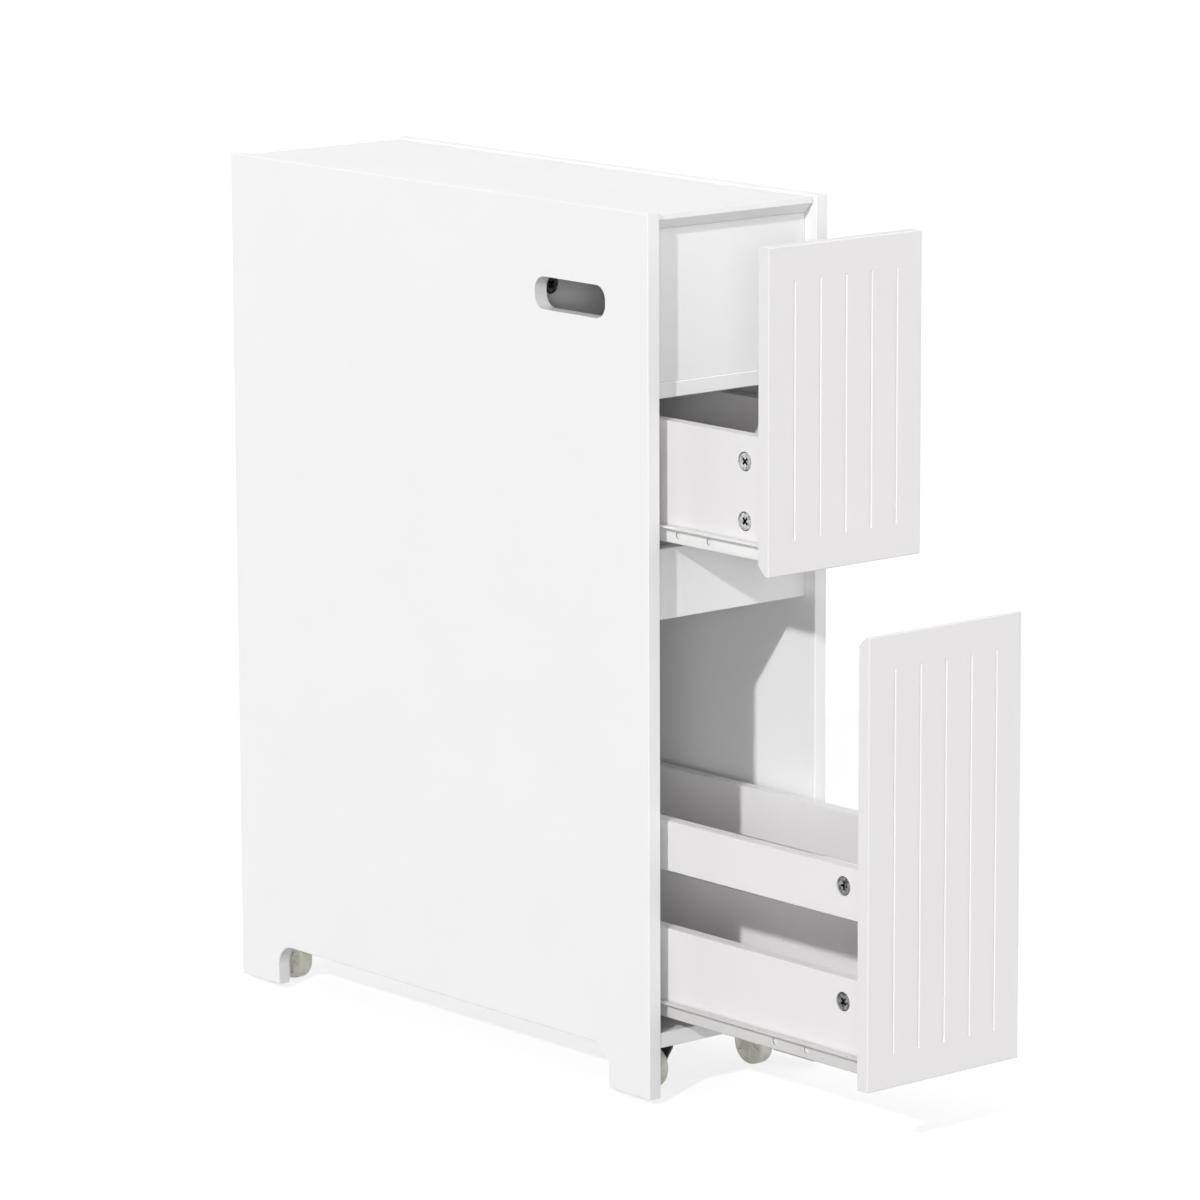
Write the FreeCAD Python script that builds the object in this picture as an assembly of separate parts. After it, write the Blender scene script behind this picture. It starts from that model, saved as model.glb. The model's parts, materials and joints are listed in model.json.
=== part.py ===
import FreeCAD, Part
import math
import os
from collections import namedtuple

from FreeCAD import Placement, Rotation, Vector

# Narrow rolling cabinet for the space beside a toilet: two drawers, a tissue slot and a lift-up lid.
# Millimetres. X runs across the cabinet, +Y from its front edge to its back, +Z up from the floor.
# Drawers are built closed, then pulled out to where they stand at rest.

# Case
cabinet_width = 186.0
cabinet_depth = 530.0
panel_height = 700.0
floor_clearance = 5.0
side_thickness = 12.0
board_thickness = 12.0
back_thickness = 9.0
back_recess = 1.5
back_top_gap = 1.25
edge_ease = 0.6

# Foot arch between the two feet of a side panel
front_foot_length = 49.5
rear_foot_length = 50.5
arch_height = 34.5
arch_radius = 18.0

# Tissue slot, in the left panel only
slot_setback = 50.5
slot_length = 85.0
slot_height = 26.0
slot_drop = 60.7
slot_radius = 11.0

# Fixed boards between the side panels
bottom_panel_rise = 5.5
bottom_panel_setback = 1.0
tissue_space_height = 120.5
tissue_front_setback = 1.0
tissue_space_depth = 136.0
tissue_board_top_gap = 0.5
rail_height = 56.0
rail_runner_gap = 2.1
closing_gap = 0.5

# Lid
lid_drop = 2.0
lid_side_gap = 1.5
lid_setback = 3.3
lid_bevel = 8.0
pivot_pin_radius = 2.0
pivot_pin_seat = 7.0
pivot_bush_radius = 3.5
pivot_bush_length = 10.0

# Drawer fronts
front_side_gap = 2.0
front_top_gap = 1.0
front_bottom_gap = 1.0
upper_front_height = 252.0
finger_gap = 29.0
finger_bevel = 8.0
groove_count = 5
groove_width = 2.4
groove_margin = 26.0

# Drawer boxes
drawer_rear_gap = 12.5
upper_side_height = 94.0
lower_board_height = 71.0
lower_rail_height = 40.0
lower_side_opening = 46.3
drawer_bottom_thickness = 5.0
drawer_bottom_rise = 10.0
drawer_groove_depth = 5.0
drawer_groove_end_gap = 0.3
upper_opened = 123.0
lower_opened = 236.0

# Cam locks and their bolts
cam_radius = 7.5
cam_depth = 10.0
cam_sink = 0.6
cam_floor_gap = 0.2
cam_setback = 27.0
cam_rim_chamfer = 0.7
cam_pocket_clearance = 0.4
cross_length = 7.0
cross_width = 1.9
cross_depth = 1.6
locked_turn = 45.0
bolt_thread_radius = 3.0
bolt_thread_length = 7.0
bolt_neck_radius = 2.3
bolt_head_radius = 3.3
bolt_head_length = 2.6
side_cam_rise = 27.2
side_cam_margin = 20.5
board_cam_margin = 19.0
rail_cam_margin = 15.0
bottom_cam_inset = 100.0
shelf_cam_inset = 70.0

# Countersunk screws
screw_head_radius = 3.2
screw_shank_radius = 1.6
screw_tip_length = 2.0
runner_screw_length = 8.0
drawer_runner_screw_length = 10.5
joint_screw_length = 34.0
caster_screw_length = 10.0
side_screw_rise = 32.0
side_screw_margin = 20.0
board_screw_margin = 25.0
rail_screw_margin = 20.0

# Roller runners, folded from sheet
runner_space = 12.5
runner_sheet = 1.2
runner_inner_bend = 0.3
runner_flange_rise = 23.0
drawer_runner_overhang = 5.0
drawer_flange_inset = 5.2
drawer_web_height = 12.8
drawer_ledge_width = 8.0
web_hole_radius = 2.75
web_hole_drop = 7.0
web_hole_first = 67.0
web_hole_second = 103.0
runner_screw_first = 270.0
runner_screw_second = 400.0
cabinet_runner_setback = 14.0
cabinet_runner_rear_gap = 5.5
cabinet_top_flange = 8.0
cabinet_top_rise = 2.2
cabinet_lip = 3.0
runner_web_gap = 0.7
drawer_travel = 360.0
stop_radius = 3.0
stop_gap = 0.3

# Runner rollers and the studs they turn on
rear_roller_radius = 7.0
rear_roller_top_gap = 1.75
front_roller_floor_gap = 0.75
front_roller_setback = 26.0
rear_roller_inset = 7.0
roller_running_gap = 0.25
roller_side_gap = 0.4
roller_end_play = 0.1
roller_edge_chamfer = 0.6
stud_radius = 2.0
stud_collar_radius = 3.5
stud_head_radius = 3.2
stud_head_thickness = 0.9

# Swivel casters
caster_side_inset = 25.5
front_caster_inset = 38.0
rear_caster_inset = 30.0
caster_trail = 6.0
wheel_radius = 17.5
wheel_width = 13.0
wheel_tread_radius = 3.0
wheel_rim_thickness = 4.0
wheel_face_recess = 2.5
hub_radius = 5.5
hub_proud = 0.7
hub_wall = 1.0
rib_count = 6
rib_thickness = 1.8
rib_sink = 0.6
fork_sheet = 2.0
fork_inner_bend = 1.2
fork_side_play = 0.4
fork_top_length = 24.0
fork_shoulder_drop = 6.0
fork_eye_radius = 6.0
caster_axle_radius = 2.5
axle_head_radius = 4.0
axle_head_thickness = 1.2
axle_barb_radius = 3.1
axle_barb_length = 1.3
plate_length = 36.0
plate_width = 30.0
plate_thickness = 2.0
plate_corner_radius = 4.0
plate_screw_margin = 5.0
race_radius = 10.0
race_height = 2.3
race_gap = 0.1
kingpin_radius = 3.0
kingpin_head_radius = 5.0
kingpin_head_thickness = 2.0

# Fits and cutting
turning_fit = 0.05
seat_fit = 0.1
cut_overlap = 1.0

# Heights and places that follow from the sizes above
inner_half = cabinet_width / 2 - side_thickness
panel_top = floor_clearance + panel_height
arch_top = floor_clearance + arch_height
bottom_low = arch_top + bottom_panel_rise
bottom_top = bottom_low + board_thickness
back_rear = cabinet_depth - back_recess
back_front = back_rear - back_thickness
lid_top = panel_top - lid_drop
lid_low = lid_top - board_thickness
lid_half = inner_half - lid_side_gap
lid_axis = Vector(0, back_rear - board_thickness / 2, lid_top - board_thickness / 2)
shelf_top = lid_low - tissue_space_height
shelf_low = shelf_top - board_thickness
fixed_front = board_thickness + closing_gap
tissue_front = fixed_front + tissue_front_setback
divider_front = tissue_front + board_thickness + tissue_space_depth
tissue_board_top = lid_low - tissue_board_top_gap
front_half = inner_half - front_side_gap
upper_front_low = lid_low - front_top_gap - upper_front_height
lower_front_low = bottom_top + front_bottom_gap
lower_front_height = upper_front_low - finger_gap - lower_front_low
cabinet_runner_drop = (runner_sheet + rear_roller_top_gap + 2 * rear_roller_radius
                       + roller_running_gap + runner_sheet)
cabinet_bottom_flange = runner_space - runner_sheet - runner_web_gap
channel_height = cabinet_runner_drop - runner_sheet
front_roller_radius = (channel_height - front_roller_floor_gap - runner_sheet - roller_running_gap) / 2
rail_top = upper_front_low + runner_flange_rise - cabinet_runner_drop - rail_runner_gap
rail_low = rail_top - rail_height
drawer_outer_half = inner_half - runner_space
drawer_inner_half = drawer_outer_half - board_thickness
drawer_rear = back_front - drawer_rear_gap
rear_roller_setback = drawer_rear - rear_roller_inset
lower_rail_rise = lower_board_height + lower_side_opening
hub_width = wheel_width + 2 * hub_proud
caster_x = inner_half - caster_side_inset
caster_rear = cabinet_depth - rear_caster_inset
origin_y = (cabinet_depth - lower_opened) / 2

LEFT = Vector(-1, 0, 0)
RIGHT = Vector(1, 0, 0)
FRONT = Vector(0, -1, 0)
BACK = Vector(0, 1, 0)
UP = Vector(0, 0, 1)
DOWN = Vector(0, 0, -1)

SideBoard = namedtuple("SideBoard", "name rise height cam_rises cam_turn screw_rises")
Drawer = namedtuple("Drawer", "name front_low front_height bevel_below boards opened")

upper_drawer = Drawer(
    name="upper",
    front_low=upper_front_low,
    front_height=upper_front_height,
    bevel_below=True,
    boards=[SideBoard("side", 0, upper_side_height, [side_cam_rise, upper_side_height - side_cam_margin],
                      locked_turn, [side_screw_rise, upper_side_height - side_screw_margin])],
    opened=upper_opened,
)
lower_drawer = Drawer(
    name="lower",
    front_low=lower_front_low,
    front_height=lower_front_height,
    bevel_below=False,
    boards=[SideBoard("board", 0, lower_board_height, [lower_board_height - board_cam_margin],
                      locked_turn, [lower_board_height - board_screw_margin]),
            SideBoard("rail", lower_rail_rise, lower_rail_height, [lower_rail_height - rail_cam_margin],
                      0, [lower_rail_height - rail_screw_margin])],
    opened=lower_opened,
)


# Shapes that every piece is made from

def block(x, y, z):
    """Box between a low and a high value along each axis."""
    return Part.makeBox(x[1] - x[0], y[1] - y[0], z[1] - z[0], Vector(x[0], y[0], z[0]))


def eased(shape):
    """Shape with all its edges lightly chamfered."""
    return shape.makeChamfer(edge_ease, shape.Edges)


def eased_rims(shape, direction):
    """Extrusion along a direction with the rims of its two end faces lightly chamfered."""
    rims = []
    for edge in shape.Edges:
        span = edge.Vertexes[-1].Point - edge.Vertexes[0].Point
        if abs(span.dot(direction)) < edge_ease:
            rims.append(edge)
    return shape.makeChamfer(edge_ease, rims)


def rod(radius, start, end):
    """Round bar from one point to another."""
    return Part.makeCylinder(radius, (end - start).Length, start, end - start)


def turned(profile, axis):
    """Solid made by turning a closed profile of points once round an axis through the origin."""
    face = Part.Face(Part.makePolygon(profile + profile[:1]))
    return face.revolve(Vector(), axis, 360)


def straight(start, end):
    """Straight edge between two points."""
    return Part.LineSegment(start, end).toShape()


def rounded_path(points, radii):
    """Edges through the points, with an arc of the given radius at each corner between the ends."""
    edges = []
    start = points[0]
    for before, corner, after, radius in zip(points, points[1:], points[2:], radii):
        back = (before - corner).normalize()
        ahead = (after - corner).normalize()
        half_angle = back.getAngle(ahead) / 2
        reach = radius / math.tan(half_angle)
        first = corner + back * reach
        last = corner + ahead * reach
        edges.append(straight(start, first))
        if radius > 0:
            middle = corner + (back + ahead).normalize() * (radius / math.sin(half_angle) - radius)
            edges.append(Part.Arc(first, middle, last).toShape())
        start = last
    edges.append(straight(start, points[-1]))
    return edges


def outline(corners):
    """Flat face from (point, corner radius) pairs, the first corner being sharp."""
    points = [point for point, radius in corners]
    radii = [radius for point, radius in corners[1:]]
    return Part.Face(Part.Wire(rounded_path(points + points[:1], radii)))


def folded_section(path, sheet, inner_bend):
    """Section of a sheet folded square along a path in the XZ plane, its thickness right of the path."""
    normals = []
    for start, end in zip(path, path[1:]):
        run = (end - start).normalize()
        normals.append(Vector(run.z, 0, -run.x))
    far = [path[0] + normals[0] * sheet]
    near_radii = []
    far_radii = []
    for corner, before, after in zip(path[1:], normals, normals[1:]):
        far.append(corner + (before + after) * sheet)
        turns_right = before.cross(after).y > 0
        near_radii.append(inner_bend + sheet if turns_right else inner_bend)
        far_radii.append(inner_bend if turns_right else inner_bend + sheet)
    far.append(path[-1] + normals[-1] * sheet)
    edges = rounded_path(path, near_radii)
    edges.append(straight(path[-1], far[-1]))
    edges.extend(rounded_path(far[::-1], far_radii[::-1]))
    edges.append(straight(far[0], path[0]))
    return Part.Face(Part.Wire(edges))


def placed(shape, places):
    """Copies of a shape, one at each place."""
    copies = []
    for place in places:
        copy = shape.copy()
        copy.Placement = place
        copies.append(copy)
    return copies


def mirrored(shape):
    """The right-hand twin of a left-hand shape."""
    return shape.mirror(Vector(), RIGHT)


def both_sides(shapes):
    """Left-hand shapes together with their right-hand twins."""
    return shapes + [mirrored(shape) for shape in shapes]


# Cam joint: the board runs along +X from the panel's face at X 0, and the lock is let in from +Z

def cam_lock(cross_turn):
    """Round lock with a cross slot, left at some turn, and a pocket that takes the bolt's head."""
    face = board_thickness / 2 - cam_sink
    centre = Vector(cam_setback, 0, 0)
    body = rod(cam_radius, centre + UP * (face - cam_depth), centre + UP * face)
    body = body.makeChamfer(cam_rim_chamfer, [edge for edge in body.Edges if edge.BoundBox.ZMin > 0])
    pocket_radius = bolt_head_radius + cam_pocket_clearance
    pocket = rod(pocket_radius, Vector(), centre + RIGHT * bolt_head_length)
    near = cam_setback - cross_length / 2
    far = cam_setback + cross_length / 2
    slot_floor = face - cross_depth
    arm = block((near, far), (-cross_width / 2, cross_width / 2), (slot_floor, face + cut_overlap))
    arm.rotate(centre, UP, cross_turn)
    other_arm = arm.copy()
    other_arm.rotate(centre, UP, 90)
    return body.cut([pocket, arm, other_arm])


def cam_bolt():
    """Bolt whose threaded end is driven into the panel and whose head the lock grips."""
    shoulder = cam_setback - bolt_head_length
    head_start = cam_setback - bolt_head_length / 2
    head_end = cam_setback + bolt_head_length / 2
    profile = [Vector(-bolt_thread_length, 0, 0),
               Vector(-bolt_thread_length, bolt_thread_radius, 0),
               Vector(0, bolt_thread_radius, 0),
               Vector(0, bolt_neck_radius, 0),
               Vector(shoulder, bolt_neck_radius, 0),
               Vector(head_start, bolt_head_radius, 0),
               Vector(head_end, bolt_head_radius, 0),
               Vector(head_end, 0, 0)]
    return turned(profile, RIGHT)


def cam_bore():
    """What a board loses for one cam joint: the lock's bore and the bolt's hole from the end."""
    centre = Vector(cam_setback, 0, 0)
    floor = board_thickness / 2 - cam_sink - cam_depth - cam_floor_gap
    bore = rod(cam_radius + seat_fit, centre + UP * floor, centre + UP * (board_thickness / 2 + cut_overlap))
    hole = rod(bolt_head_radius + seat_fit, LEFT * cut_overlap, centre)
    return bore.fuse(hole)


def bolt_socket():
    """What a panel loses for one cam joint: the bolt's threaded hole."""
    return rod(bolt_thread_radius + turning_fit, LEFT * (bolt_thread_length + seat_fit), RIGHT * cut_overlap)


def cam_place(end, into, face):
    """Place of a cam joint from the board's end point, its run and its bored face."""
    return Placement(end, Rotation(into, Vector(), face, "XZY"))


def screw(length, clearance=0.0):
    """Countersunk screw below its head's face at Z 0, all its sizes grown by a clearance."""
    head = screw_head_radius + clearance
    shank = screw_shank_radius + clearance
    end = -length - clearance
    profile = [Vector(),
               Vector(head, 0, 0),
               Vector(shank, 0, shank - head),
               Vector(shank, 0, end + screw_tip_length),
               Vector(0, 0, end)]
    return turned(profile, UP)


def screw_hole(length):
    """What a piece loses for one screw, open above its head."""
    mouth = rod(screw_head_radius + seat_fit, Vector(), UP * cut_overlap)
    return screw(length, seat_fit).fuse(mouth)


def screw_place(head, outward):
    """Place of a screw from the centre of its head's face and the way that the face looks."""
    return Placement(head, Rotation(UP, outward))


# Case

bottom_cam_ys = [bottom_cam_inset, cabinet_depth - bottom_cam_inset]
shelf_cam_ys = [shelf_cam_inset, cabinet_depth - shelf_cam_inset]


def side_cam_places(into):
    """Places of the cam joints along one side panel, for boards that run from it in one direction."""
    face_x = -into.x * inner_half
    bottom_z = bottom_low + board_thickness / 2
    shelf_z = shelf_low + board_thickness / 2
    rail_z = (rail_low + rail_top) / 2
    tissue_z = (shelf_top + tissue_board_top) / 2
    places = [cam_place(Vector(face_x, y, bottom_z), into, DOWN) for y in bottom_cam_ys]
    places += [cam_place(Vector(face_x, y, shelf_z), into, DOWN) for y in shelf_cam_ys]
    places.append(cam_place(Vector(face_x, fixed_front + board_thickness / 2, rail_z), into, BACK))
    places.append(cam_place(Vector(face_x, tissue_front + board_thickness / 2, tissue_z), into, BACK))
    places.append(cam_place(Vector(face_x, divider_front + board_thickness / 2, tissue_z), into, FRONT))
    return places


cabinet_cam_places = side_cam_places(RIGHT) + side_cam_places(LEFT)


def runner_screw_places(flange_top):
    """Places of the screws that hold a left cabinet runner to its panel."""
    head_x = -inner_half + runner_sheet
    z = flange_top - web_hole_drop
    starts = [cabinet_runner_setback + along for along in (runner_screw_first, runner_screw_second)]
    return [screw_place(Vector(head_x, y, z), RIGHT) for y in starts]


def flange_top_of(drawer):
    """Height of the flange on which a drawer runs."""
    return drawer.front_low + runner_flange_rise


def left_panel_blank():
    """Left side panel with its foot arch and fixing holes, before the tissue slot."""
    rear_foot = cabinet_depth - rear_foot_length
    corners = [(Vector(0, 0, floor_clearance), 0),
               (Vector(0, front_foot_length, floor_clearance), 0),
               (Vector(0, front_foot_length, arch_top), arch_radius),
               (Vector(0, rear_foot, arch_top), arch_radius),
               (Vector(0, rear_foot, floor_clearance), 0),
               (Vector(0, cabinet_depth, floor_clearance), 0),
               (Vector(0, cabinet_depth, panel_top), 0),
               (Vector(0, 0, panel_top), 0)]
    panel = outline(corners).extrude(RIGHT * side_thickness)
    panel = eased_rims(panel, RIGHT)
    panel.translate(LEFT * (cabinet_width / 2))
    holes = placed(bolt_socket(), side_cam_places(RIGHT))
    for drawer in (upper_drawer, lower_drawer):
        holes += placed(screw_hole(runner_screw_length), runner_screw_places(flange_top_of(drawer)))
    pin_start = lid_axis + LEFT * (inner_half + pivot_pin_seat)
    holes.append(rod(pivot_pin_radius + turning_fit, pin_start, lid_axis + LEFT * lid_half))
    return panel.cut(holes)


def tissue_slot():
    """Round-cornered block that opens the tissue slot through the left panel."""
    slot_top = panel_top - slot_drop
    slot = block((-cabinet_width / 2 - cut_overlap, -inner_half + cut_overlap),
                 (slot_setback, slot_setback + slot_length), (slot_top - slot_height, slot_top))
    corners = [edge for edge in slot.Edges if abs(edge.Curve.Direction.x) > 0.5]
    return slot.makeFillet(slot_radius, corners)


def back_screw_places():
    """Places of the screws through the back panel into the bottom panel and the tissue shelf."""
    heights = [bottom_low + board_thickness / 2, shelf_low + board_thickness / 2]
    columns = [-caster_x, 0, caster_x]
    return [screw_place(Vector(x, back_rear, z), BACK) for z in heights for x in columns]


def caster_screw_places():
    """Places of the screws through the caster plates into the bottom panel."""
    places = []
    for centre in caster_centres.values():
        for x in (-1, 1):
            for y in (-1, 1):
                head = Vector(centre.x + x * (plate_width / 2 - plate_screw_margin),
                              centre.y + y * (plate_length / 2 - plate_screw_margin),
                              bottom_low - plate_thickness)
                places.append(screw_place(head, DOWN))
    return places


def case_nodes():
    """The fixed boards of the cabinet and what joins them."""
    blank = left_panel_blank()
    width = (-inner_half, inner_half)
    cam_bores = placed(cam_bore(), cabinet_cam_places)
    back_holes = placed(screw_hole(joint_screw_length), back_screw_places())
    caster_holes = placed(screw_hole(caster_screw_length), caster_screw_places())
    bottom = eased(block(width, (bottom_panel_setback, back_front), (bottom_low, bottom_top)))
    shelf = eased(block(width, (fixed_front, back_front), (shelf_low, shelf_top)))
    rail = eased(block(width, (fixed_front, fixed_front + board_thickness), (rail_low, rail_top)))
    tissue_panel = eased(block(width, (tissue_front, tissue_front + board_thickness),
                               (shelf_top, tissue_board_top)))
    divider = eased(block(width, (divider_front, divider_front + board_thickness),
                          (shelf_top, tissue_board_top)))
    back = eased(block(width, (back_front, back_rear), (bottom_low, lid_low - back_top_gap)))
    return {
        "left_side_panel": blank.cut(tissue_slot()),
        "right_side_panel": mirrored(blank),
        "bottom_panel": bottom.cut(cam_bores + back_holes + caster_holes),
        "tissue_shelf": shelf.cut(cam_bores + back_holes),
        "middle_rail": rail.cut(cam_bores),
        "tissue_front_panel": tissue_panel.cut(cam_bores),
        "tissue_divider": divider.cut(cam_bores),
        "back_panel": back.cut(back_holes),
        "cabinet_cam_locks": Part.makeCompound(placed(cam_lock(locked_turn), cabinet_cam_places)),
        "cabinet_cam_bolts": Part.makeCompound(placed(cam_bolt(), cabinet_cam_places)),
        "back_panel_screws": Part.makeCompound(placed(screw(joint_screw_length), back_screw_places())),
    }


# Lid on two pins at the back

def lid_nodes():
    """Lid with its finger bevel, the bushes in its ends and the pins in the side panels."""
    rear = back_rear
    corners = [(Vector(0, lid_setback, lid_top), 0),
               (Vector(0, rear, lid_top), 0),
               (Vector(0, rear, lid_low), board_thickness / 2),
               (Vector(0, lid_setback + lid_bevel, lid_low), 0),
               (Vector(0, lid_setback, lid_low + lid_bevel), 0)]
    lid = outline(corners).extrude(RIGHT * (2 * lid_half))
    lid = eased_rims(lid, RIGHT)
    lid.translate(LEFT * lid_half)
    end = lid_axis + LEFT * lid_half
    bush_end = end + RIGHT * pivot_bush_length
    bore = rod(pivot_bush_radius + seat_fit, end + LEFT * cut_overlap, bush_end + RIGHT * seat_fit)
    bush = rod(pivot_bush_radius, end, bush_end)
    bush = bush.cut(rod(pivot_pin_radius + turning_fit, end, bush_end))
    pin = rod(pivot_pin_radius, lid_axis + LEFT * (inner_half + pivot_pin_seat), bush_end)
    return {
        "lid": lid.cut(both_sides([bore])),
        "lid_pivot_bushes": Part.makeCompound(both_sides([bush])),
        "lid_pivot_pins": Part.makeCompound(both_sides([pin])),
    }


# Runners, drawn for the left side from the panel's inner face

def runner_point(across, height):
    """Point of a left runner's section, from its distance to the panel and its height."""
    return Vector(across - inner_half, 0, height)


def stud(base, end, collar_end, head_start):
    """Riveted stud across the cabinet, with a collar at its base and a head at its free end."""
    collar = rod(stud_collar_radius, base, collar_end)
    pin = rod(stud_radius, base, end)
    head = rod(stud_head_radius, head_start, end)
    return collar.fuse([pin, head])


def front_roller_span():
    """Where a front roller starts and ends, as distances from the panel."""
    cabinet_lip_inside = cabinet_bottom_flange - runner_sheet
    return drawer_flange_inset + roller_side_gap, cabinet_lip_inside - roller_side_gap


def rear_roller_span():
    """Where a rear roller starts and ends, as distances from the panel."""
    head = runner_sheet + roller_side_gap + stud_head_thickness
    cabinet_lip_inside = cabinet_bottom_flange - runner_sheet
    return head + roller_end_play, cabinet_lip_inside - roller_side_gap


def front_roller_drop():
    """How far a front roller's axis lies below the drawer's flange."""
    return runner_sheet + roller_running_gap + front_roller_radius


def rear_roller_drop():
    """How far a rear roller's axis lies below the drawer's flange."""
    return channel_height - roller_running_gap - rear_roller_radius


def cabinet_runner(flange_top):
    """Left channel on the panel, with the front roller's stud and the stop for the rear roller."""
    low = flange_top - cabinet_runner_drop
    high = flange_top + cabinet_top_rise
    path = [runner_point(cabinet_bottom_flange, low + cabinet_lip),
            runner_point(cabinet_bottom_flange, low),
            runner_point(0, low),
            runner_point(0, high),
            runner_point(cabinet_top_flange, high)]
    length = back_front - cabinet_runner_rear_gap - cabinet_runner_setback
    channel = folded_section(path, runner_sheet, runner_inner_bend).extrude(BACK * length)
    channel.translate(BACK * cabinet_runner_setback)
    start, end = front_roller_span()
    along = BACK * front_roller_setback
    height = flange_top - front_roller_drop()
    head = end + roller_end_play
    roller_stud = stud(runner_point(runner_sheet, height) + along,
                       runner_point(head + stud_head_thickness, height) + along,
                       runner_point(start - roller_end_play, height) + along,
                       runner_point(head, height) + along)
    stop_reach = rear_roller_radius + stop_radius + stop_gap
    stop_rise = rear_roller_radius + roller_running_gap
    stop_ahead = math.sqrt(stop_reach ** 2 - stop_rise ** 2)
    stop_y = rear_roller_setback - drawer_travel - stop_ahead
    floor = low + runner_sheet
    stop_start = runner_point(runner_sheet, floor) + BACK * stop_y
    stop_end = runner_point(cabinet_bottom_flange - runner_sheet, floor) + BACK * stop_y
    above = block((stop_start.x, stop_end.x), (stop_y - stop_radius, stop_y + stop_radius),
                  (floor, floor + stop_radius))
    stop = rod(stop_radius, stop_start, stop_end).common(above)
    runner = channel.fuse([roller_stud, stop])
    return runner.cut(placed(screw_hole(runner_screw_length), runner_screw_places(flange_top)))


def drawer_runner_screw_places(flange_top):
    """Places of the screws that hold a left drawer runner to its board."""
    head_x = -drawer_outer_half - runner_sheet
    z = flange_top - web_hole_drop
    starts = [board_thickness + along for along in (runner_screw_first, runner_screw_second)]
    return [screw_place(Vector(head_x, y, z), LEFT) for y in starts]


def drawer_runner(flange_top):
    """Left rail under the drawer's board, with its spare holes and the rear roller's stud."""
    path = [runner_point(drawer_flange_inset, flange_top),
            runner_point(runner_space, flange_top),
            runner_point(runner_space, flange_top - drawer_web_height),
            runner_point(runner_space + drawer_ledge_width, flange_top - drawer_web_height)]
    length = drawer_rear + drawer_runner_overhang - board_thickness
    rail = folded_section(path, runner_sheet, runner_inner_bend).extrude(BACK * length)
    rail.translate(BACK * board_thickness)
    start, end = rear_roller_span()
    along = BACK * rear_roller_setback
    height = flange_top - rear_roller_drop()
    head = start - roller_end_play
    roller_stud = stud(runner_point(runner_space - runner_sheet, height) + along,
                       runner_point(head - stud_head_thickness, height) + along,
                       runner_point(end + roller_end_play, height) + along,
                       runner_point(head, height) + along)
    holes = placed(screw_hole(drawer_runner_screw_length), drawer_runner_screw_places(flange_top))
    for along in (web_hole_first, web_hole_second):
        centre = Vector(-drawer_outer_half, board_thickness + along, flange_top - web_hole_drop)
        holes.append(rod(web_hole_radius, centre + LEFT * (runner_sheet + cut_overlap), centre))
    return rail.fuse(roller_stud).cut(holes)


def roller(span, radius, setback, height):
    """Left roller with chamfered rims and a bore that turns on its stud."""
    start = runner_point(span[0], height) + BACK * setback
    end = runner_point(span[1], height) + BACK * setback
    body = rod(radius, start, end)
    rims = [edge for edge in body.Edges if edge.BoundBox.XLength < roller_edge_chamfer]
    body = body.makeChamfer(roller_edge_chamfer, rims)
    return body.cut(rod(stud_radius + turning_fit, start, end))


def runner_nodes(drawer):
    """Both runners of a drawer on both sides, and their rollers."""
    name = drawer.name
    flange_top = flange_top_of(drawer)
    fixed = cabinet_runner(flange_top)
    moving = drawer_runner(flange_top)
    front = roller(front_roller_span(), front_roller_radius, front_roller_setback,
                   flange_top - front_roller_drop())
    rear = roller(rear_roller_span(), rear_roller_radius, rear_roller_setback,
                  flange_top - rear_roller_drop())
    pulled = {
        name + "_left_drawer_runner": moving,
        name + "_right_drawer_runner": mirrored(moving),
        name + "_rear_rollers": Part.makeCompound(both_sides([rear])),
    }
    for shape in pulled.values():
        shape.translate(BACK * -drawer.opened)
    return {
        name + "_left_cabinet_runner": fixed,
        name + "_right_cabinet_runner": mirrored(fixed),
        name + "_front_rollers": Part.makeCompound(both_sides([front])),
        **pulled,
    }


def cabinet_runner_screws():
    """All the screws that hold the cabinet runners to the side panels."""
    screws = []
    for drawer in (upper_drawer, lower_drawer):
        screws += placed(screw(runner_screw_length), runner_screw_places(flange_top_of(drawer)))
    return Part.makeCompound(both_sides(screws))


# Drawers

def groove(x, low, high):
    """V groove down a drawer's front, run in and out by a pointed cutter."""
    half = groove_width / 2
    wide = half + cut_overlap
    valley = [Vector(x - wide, -cut_overlap, low + half),
              Vector(x + wide, -cut_overlap, low + half),
              Vector(x, half, low + half)]
    run = Part.Face(Part.makePolygon(valley + valley[:1])).extrude(UP * (high - low - groove_width))
    ends = [Part.makeCone(wide, 0, wide, Vector(x, -cut_overlap, z), BACK)
            for z in (low + half, high - half)]
    return run.fuse(ends)


def drawer_front(drawer, holes):
    """Front panel with its finger bevel behind, its grooves and the holes that it is given."""
    low = drawer.front_low
    high = low + drawer.front_height
    back = board_thickness
    if drawer.bevel_below:
        rear_edge = [Vector(0, back - finger_bevel, low), Vector(0, back, low + finger_bevel),
                     Vector(0, back, high)]
    else:
        rear_edge = [Vector(0, back, low), Vector(0, back, high - finger_bevel),
                     Vector(0, back - finger_bevel, high)]
    corners = [(point, 0) for point in [Vector(0, 0, low)] + rear_edge + [Vector(0, 0, high)]]
    front = outline(corners).extrude(RIGHT * (2 * front_half))
    front.translate(LEFT * front_half)
    front = eased(front)
    pitch = 2 * front_half / (groove_count + 1)
    grooves = [groove(-front_half + pitch * (index + 1), low + groove_margin, high - groove_margin)
               for index in range(groove_count)]
    return front.cut(grooves + holes)


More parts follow.
